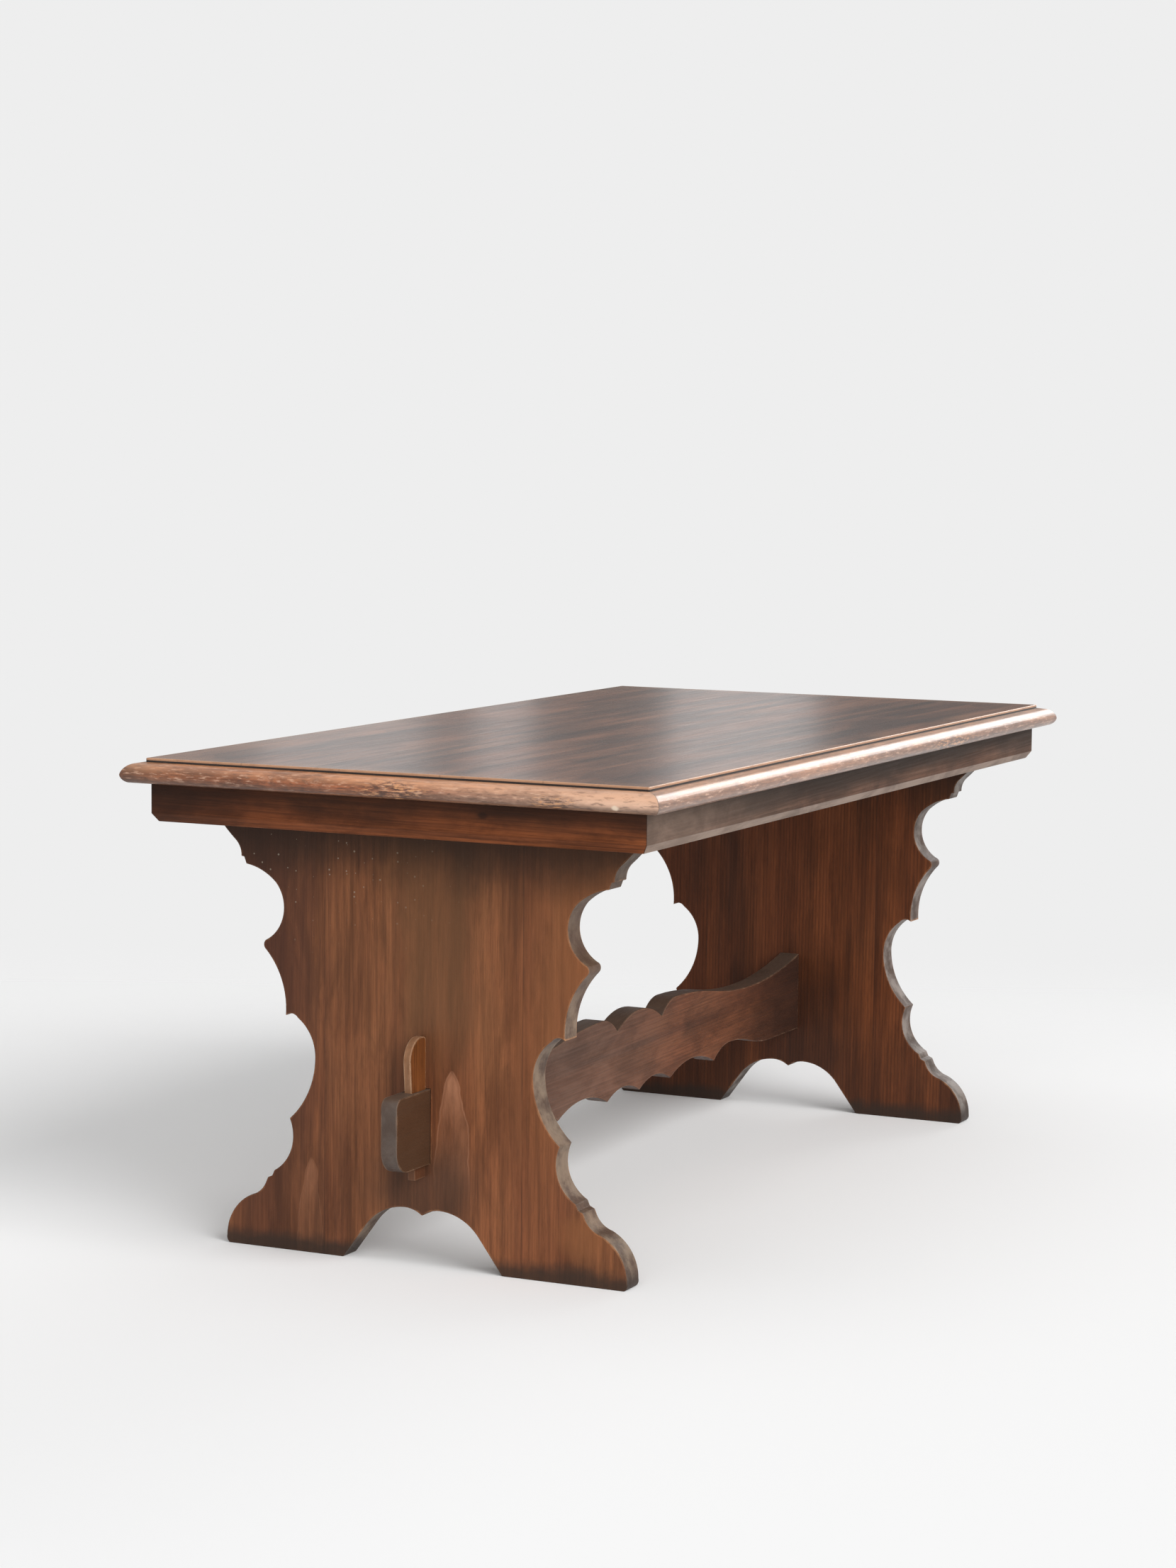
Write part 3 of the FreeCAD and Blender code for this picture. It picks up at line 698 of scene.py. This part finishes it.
# Pale flames of sapwood, palest at the tip, each with a paler line along its edge
def sapwoodFlames(tree, place, colour, figure):
    y, z = axes(tree, place)[1:]
    wander = times(tree, minus(tree, noise(tree, place, 16.0, 3.0), 0.5), sapwood["wander"])
    across = plus(tree, y, wander)
    for middle, halfWidth, foot, tip, blunt, strength in sapwood["flames"]:
        aside = sizeOf(tree, calc(tree, 'DIVIDE', minus(tree, across, middle), halfWidth))
        below = calc(tree, 'DIVIDE', minus(tree, tip, z), tip - foot)
        rounding = calc(tree, 'POWER', ease(tree, below, 0.0, 0.14), 0.4)
        spread = times(tree, rounding, ease(tree, below, 0.0, 0.6, blunt, 1.0))
        inside = minus(tree, spread, aside)
        shown = times(tree, ease(tree, below, 0.0, 0.03), ease(tree, below, 1.0, 0.6, 0.0, strength))
        shown = times(tree, shown, ease(tree, figure["Mottle"], 0.0, 0.8, 0.55, 1.0))
        fill = times(tree, ease(tree, inside, -0.03, 0.25), shown)
        fill = times(tree, fill, ease(tree, below, 0.05, 0.42, 1.0, 0.3))
        colour = blendColour(tree, fill, colour, sapwood["colour"])
        line = ease(tree, sizeOf(tree, minus(tree, inside, 0.06)), 0.07, 0.0)
        line = times(tree, line, times(tree, shown, sapwood["edgeShare"]))
        colour = blendColour(tree, line, colour, sapwood["edge"])
    return colour


def paleSpecks(tree, place, colour):
    y, z = axes(tree, place)[1:]
    flat = addNode(tree, 'ShaderNodeCombineXYZ')
    feedAll(tree, flat, {"X": y, "Y": z})
    dots = addNode(tree, 'ShaderNodeTexVoronoi', voronoi_dimensions='2D', feature='F1')
    feedAll(tree, dots, {"Vector": flat.outputs[0], "Scale": specks["scale"]})
    chosen = addNode(tree, 'ShaderNodeSeparateColor')
    feed(tree, chosen.inputs[0], dots.outputs["Color"])
    reach = times(tree, ease(tree, chosen.outputs[0], specks["chosen"], 1.0), specks["size"])
    dot = ease(tree, minus(tree, dots.outputs["Distance"], reach), 0.0, specks["soft"])
    upper = times(tree, ease(tree, z, *specks["above"]), ease(tree, y, *specks["across"]))
    share = times(tree, times(tree, dot, upper), specks["share"])
    return blendColour(tree, share, colour, specks["colour"])


def nearTrestleMarks(tree, place, colour, figure):
    colour = sapwoodFlames(tree, place, agedBoards(tree, place, colour), figure)
    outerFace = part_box("left_trestle_centre_board")[0].x
    for y, z, reach, tone, share in nearPatches:
        colour = patched(tree, place, colour, (outerFace, y, z), reach, tone, share)
    return paleSpecks(tree, place, sootedAndShaded(tree, place, colour, sootAndShade))


# The far trestle has painted shade toward the back, a painted shadow round the stretcher, and is darker
# toward the floor
def farTrestleMarks(tree, place, colour, figure):
    across = straying(tree, place, farTrestleShading["stray"])
    # Painted shade toward the back, where the near trestle and the top keep light off
    sideShade = ease(tree, across, *farTrestleShading["sideShadePlace"], 0.0, farTrestleShading["sideShadeShare"])
    colour = blendColour(tree, sideShade, colour, patinaAndShade["sideShade"])
    # Painted shadow round the stretcher's end
    low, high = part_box("stretcher")
    middle = (cadHigh.x * farTrestleShading["socketAlong"], farTrestleShading["socketAside"],
              (low.z + high.z) / 2 - farTrestleShading["socketBelow"])
    colour = patched(tree, place, colour, middle, farTrestleShading["socketReach"], farTrestleShading["shadow"],
                     farTrestleShading["socketShare"])
    lower = ease(tree, axes(tree, place)[2], farTrestleShading["footHeight"], 0.0, 0.0, farTrestleShading["footShare"])
    colour = blendColour(tree, lower, colour, farTrestleShading["shadow"])
    return sootedAndShaded(tree, place, colour, sootAndShade)


def dressTrestles():
    for end, shift, tones, marks in (("left", 0.0, trestleLook, nearTrestleMarks),
                                     ("right", farPithShift, farShadedTrestleLook, farTrestleMarks)):
        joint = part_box(end + "_trestle_centre_board")[1].y

        def onJoint(corner):
            return abs(abs(corner.y) - joint) < touching

        for name, pith in trestlePiths.items():
            node = end + "_trestle_" + name + "_board"
            look = dict(tones, pith=(pith[0] + shift, pith[1], pith[2]), joints=(-joint, joint))
            material = walnutMaterial(node + "_walnut", "z", look, marks)
            easedPiece(node, "table", material, tones["easing"], onJoint)
    print("trestles dressed")


# Stretcher, dark where its tenons stand out, with painted shade toward the trestles
stretcherLook = {
    "light": (0.124, 0.046, 0.021, 1), "dark": (0.048, 0.019, 0.011, 1), "red": (0.150, 0.045, 0.018, 1),
    "sawnAxis": 1, "sawn": (0.062, 0.036, 0.026, 1), "sawnDark": (0.045, 0.027, 0.020, 1), "sawnShare": 0.65,
    "stripeScale": 24.0, "mottleShare": 0.32, "fibreShare": 0.7, "pith": (0.0, 0.12, -0.60), "easing": 0.0014,
    "rub": (0.34, 0.21, 0.13, 1), "rubRadius": 0.005, "rubShare": 0.7, "patchiness": 2.0,
    "dust": (0.150, 0.108, 0.080, 1), "dustShare": 0.4,
}
stretcherBloom = {"colour": (0.110, 0.070, 0.051, 1), "from": 0.30, "to": -0.35, "share": 0.7, "least": 0.45}
stretcherShade = {"colour": (0.022, 0.011, 0.008, 1), "from": 0.46, "to": 0.03, "share": 0.86}
tenonLook = {
    "side": (0.052, 0.024, 0.011, 1), "sideShare": 0.85, "end": (0.205, 0.176, 0.154, 1), "edge": 0.002,
}


def stretcherMarks(tree, place, colour, figure):
    inner, outer = (corner.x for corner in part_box("right_trestle_centre_board"))
    along = sizeOf(tree, axes(tree, place)[0])
    proud = ease(tree, along, outer - tenonLook["edge"], outer + tenonLook["edge"])
    colour = bloomed(tree, place, colour, figure, stretcherBloom)
    colour = blendColour(tree, times(tree, proud, tenonLook["sideShare"]), colour, tenonLook["side"])
    ends = times(tree, ease(tree, sizeOf(tree, facing(tree)[0]), 0.4, 0.9),
                 ease(tree, figure["Mottle"], 0.0, 1.0, 0.45, 1.0))
    colour = blendColour(tree, ends, colour, tenonLook["end"])
    # Painted shade on the stretcher toward the trestles
    corner = ease(tree, along, inner - stretcherShade["from"], inner - stretcherShade["to"],
                  0.0, stretcherShade["share"])
    corner = times(tree, corner, minus(tree, 1.0, proud))
    return blendColour(tree, corner, colour, stretcherShade["colour"])


# Wedges, of a yellower wood, dark with handling at the foot
wedgeLook = {
    "light": (0.155, 0.050, 0.013, 1), "dark": (0.072, 0.023, 0.007, 1), "red": (0.140, 0.043, 0.012, 1),
    "sawnAxis": 1, "sawn": (0.46, 0.255, 0.145, 1), "sawnDark": (0.30, 0.155, 0.080, 1), "sawnShare": 0.5,
    "stripeScale": 50.0, "mottleShare": 0.3, "dustShare": 0.1, "easing": 0.0012,
    "rub": (0.60, 0.40, 0.25, 1), "rubShare": 0.8, "rubRadius": 0.004,
}
wedgeFoot = {"colour": (0.078, 0.031, 0.016, 1), "share": 0.8, "height": 0.05}


def wedgeMarks(tree, place, colour, figure):
    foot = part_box("left_wedge")[0].z
    height = wedgeFoot["height"]
    handled = ease(tree, axes(tree, place)[2], foot + height, foot + height * 0.7)
    return blendColour(tree, times(tree, handled, wedgeFoot["share"]), colour, wedgeFoot["colour"])


def dressStretcher():
    material = walnutMaterial("stretcher_walnut", "x", stretcherLook, stretcherMarks)
    easedPiece("stretcher", "table", material, stretcherLook["easing"])
    for end in ("left", "right"):
        node = end + "_wedge"
        material = walnutMaterial(node + "_wood", "z", wedgeLook, lastMarks=wedgeMarks)
        easedPiece(node, node, material, wedgeLook["easing"])
    print("stretcher and wedges dressed")


# Hidden wood and screws, which are the nodes themselves
innerLook = {
    "light": (0.30, 0.19, 0.11, 1), "dark": (0.16, 0.095, 0.055, 1), "red": (0.25, 0.145, 0.08, 1),
    "rough": (0.6, 0.75), "specular": 0.25, "rubShare": 0.2,
}
screwLook = {
    "bright": (0.42, 0.41, 0.39, 1), "rusty": (0.20, 0.15, 0.11, 1), "spotScale": 900.0, "rough": (0.35, 0.6),
}


def steelMaterial():
    material, tree, place = newMaterial("screw_steel")
    spots = noise(tree, place, screwLook["spotScale"], 3.0)
    rust = ease(tree, spots, 0.4, 0.7)
    feedAll(tree, tree.nodes["Principled BSDF"], {
        "Base Color": blendColour(tree, rust, screwLook["bright"], screwLook["rusty"]),
        "Roughness": ease(tree, spots, 0.3, 0.7, *screwLook["rough"]),
        "Metallic": 1.0,
    })
    return material


def finishNode(node, material):
    nodes[node].data.materials.clear()
    nodes[node].data.materials.append(material)


def dressHiddenParts():
    lengthwise = walnutMaterial("inner_wood_along", "x", innerLook)
    crosswise = walnutMaterial("inner_wood_across", "y", innerLook)
    steel = steelMaterial()
    for node in nodes:
        if node.endswith("_screws"):
            finishNode(node, steel)
        elif node in ("front_glue_blocks", "back_glue_blocks"):
            finishNode(node, lengthwise)
        elif node.endswith(("_glue_blocks", "_corner_block", "_bearer")):
            finishNode(node, crosswise)
    print("hidden parts dressed")


# Camera at the photograph's place, in metres and degrees, for an image of 1659 x 2212
photoView = {
    "place": (-5.600, -2.6245, 1.3259), "yaw": 64.177, "pitch": 5.927, "roll": 0.509,
    "focal": 5105.4, "longSide": 2212, "sensor": 36.0, "farthest": 200,
}


def makeCamera():
    yaw, pitch, roll = (math.radians(photoView[turn]) for turn in ("yaw", "pitch", "roll"))
    ahead = Vector((math.sin(yaw) * math.cos(pitch), math.cos(yaw) * math.cos(pitch), -math.sin(pitch)))
    right = Vector((math.cos(yaw), -math.sin(yaw), 0))
    upward = right.cross(ahead)
    right, upward = (right * math.cos(roll) + upward * math.sin(roll),
                     upward * math.cos(roll) - right * math.sin(roll))
    lens = bpy.data.cameras.new("photo_camera")
    lens.sensor_width = photoView["sensor"]
    lens.lens = photoView["focal"] / photoView["longSide"] * photoView["sensor"]
    lens.clip_end = photoView["farthest"]
    camera = bpy.data.objects.new("photo_camera", lens)
    scene.collection.objects.link(camera)
    turn = Matrix((right, upward, -ahead)).transposed()
    camera.matrix_world = Matrix.Translation(photoView["place"]) @ turn.to_4x4()
    scene.camera = camera
    bpy.context.view_layer.update()
    return camera


# Studio: a pale floor that fades into a pale background, a wide soft key, a fill, a soft light overhead,
# a rim light behind the far end, and cards of several greys that show only as bands in the polish of the top
studio = {
    "floorColour": (0.935, 0.935, 0.935, 1), "floorSize": 60, "floorRough": 0.9,
    "ahead": (7.0, 8.9), "around": (5.0, 9.0),  # where the floor fades, from the lens and round the table
    "background": 0.855, "ambient": 0.29,
    "suns": {
        "key": {"from": (-0.28, -0.95, 0.58), "strength": 2.72, "angle": 42.0},
        "fill": {"from": (-0.88, -0.40, 0.42), "strength": 1.12, "angle": 56.0},
        "overhead": {"from": (-0.05, 0.25, 0.95), "strength": 0.26, "angle": 50.0},
        "rim": {"from": (0.93, -0.05, 0.37), "strength": 0.50, "angle": 22.0},
    },
    "cards": [(-9.0, -5.2, 0.45), (-5.2, -2.6, 0.86), (-2.6, -1.8, 0.30), (-0.9, 1.25, 0.24),
              (1.25, 3.6, 1.0), (3.6, 9.0, 0.24)],  # from and to in degrees aside, and grey level
    "cardDistance": 16.0, "cardTop": 5.0, "cardFade": (1.25, 1.7), "cardFoot": 0.72,
}


def makeFloor(camera):
    bpy.ops.object.select_all(action='DESELECT')
    bpy.ops.mesh.primitive_plane_add(size=studio["floorSize"], location=(0, 0, 0))
    floor = bpy.context.object
    floor.name = "floor"
    material, tree, place = newMaterial("pale_floor")
    shader = tree.nodes["Principled BSDF"]
    feedAll(tree, shader, {"Base Color": studio["floorColour"], "Roughness": studio["floorRough"],
                           "Specular IOR Level": 0.0})
    ahead = camera.matrix_world.to_3x3() @ Vector((0, 0, -1))
    ahead.z = 0
    ahead.normalize()
    start = -ahead.dot(camera.matrix_world.translation)
    distance = plus(tree, calcVector(tree, 'DOT_PRODUCT', place, ahead), start)  # from the lens
    fade = ease(tree, distance, *studio["ahead"])
    radius = calcVector(tree, 'LENGTH', place)
    fade = calc(tree, 'MAXIMUM', fade, ease(tree, radius, *studio["around"]))
    underside = addNode(tree, 'ShaderNodeNewGeometry').outputs["Backfacing"]
    fade = calc(tree, 'MAXIMUM', fade, underside)  # clear from below
    clear = addNode(tree, 'ShaderNodeBsdfTransparent')
    mixed = addNode(tree, 'ShaderNodeMixShader')
    for socket, value in zip(mixed.inputs, (fade, shader.outputs[0], clear.outputs[0])):
        feed(tree, socket, value)
    feed(tree, tree.nodes["Material Output"].inputs["Surface"], mixed.outputs[0])
    floor.data.materials.append(material)


def makeSuns():
    for name, settings in studio["suns"].items():
        lamp = bpy.data.lights.new(name, 'SUN')
        lamp.energy = settings["strength"]
        lamp.angle = math.radians(settings["angle"])
        sun = bpy.data.objects.new(name, lamp)
        scene.collection.objects.link(sun)
        sun.rotation_mode = 'QUATERNION'
        sun.rotation_quaternion = (-Vector(settings["from"])).to_track_quat('-Z', 'Y')


def cardMaterial(level):
    material, tree, place = newMaterial("card_grey")
    emission = addNode(tree, 'ShaderNodeEmission')
    height = plus(tree, times(tree, axes(tree, place)[1], studio["cardTop"]), studio["cardTop"] / 2)
    glow = ease(tree, height, *studio["cardFade"], level * studio["cardFoot"], level)
    feed(tree, emission.inputs["Strength"], glow)
    feed(tree, tree.nodes["Material Output"].inputs["Surface"], emission.outputs[0])
    return material


def makeCards(camera):
    for first, last, level in studio["cards"]:
        bearing = math.radians(photoView["yaw"] + (first + last) / 2)
        width = studio["cardDistance"] * math.radians(last - first)
        foot = camera.location + Vector((math.sin(bearing), math.cos(bearing), 0)) * studio["cardDistance"]
        bpy.ops.object.select_all(action='DESELECT')
        bpy.ops.mesh.primitive_plane_add(size=1, location=(foot.x, foot.y, studio["cardTop"] / 2),
                                         rotation=(math.radians(90), 0, -bearing))
        card = bpy.context.object
        card.name = "card"
        card.scale = (width, studio["cardTop"], 1)
        card.data.materials.append(cardMaterial(level))
        card.visible_camera = False
        card.visible_diffuse = False
        card.visible_shadow = False


# The world lights the table softly, and is paler where it is seen, straight or in the polish
def makeWorld():
    world = bpy.data.worlds.new("studio")
    scene.world = world
    world.use_nodes = True
    tree = world.node_tree
    surroundings = tree.nodes["Background"]
    path = addNode(tree, 'ShaderNodeLightPath').outputs
    seen = calc(tree, 'MAXIMUM', path["Is Camera Ray"], path["Is Glossy Ray"])
    seen = calc(tree, 'MAXIMUM', seen, path["Is Transmission Ray"])
    level = addNode(tree, 'ShaderNodeMix', data_type='FLOAT')
    feed(tree, level.inputs[0], seen)
    feed(tree, level.inputs[2], studio["ambient"])
    feed(tree, level.inputs[3], studio["background"])
    feedAll(tree, surroundings, {"Color": (1, 1, 1, 1), "Strength": level.outputs[0]})


dressTop()
dressFrame("_edge_moulding", (longMouldingLook, longMouldingMarks),
           (mouldingLook, endMouldingMarks))
print("moulding dressed")
dressFrame("_apron", (longApronLook, longApronMarks), (apronLook, endApronMarks))
print("apron dressed")
dressTrestles()
dressStretcher()
dressHiddenParts()
photoCamera = makeCamera()
makeFloor(photoCamera)
makeSuns()
makeCards(photoCamera)
makeWorld()
print("studio ready")
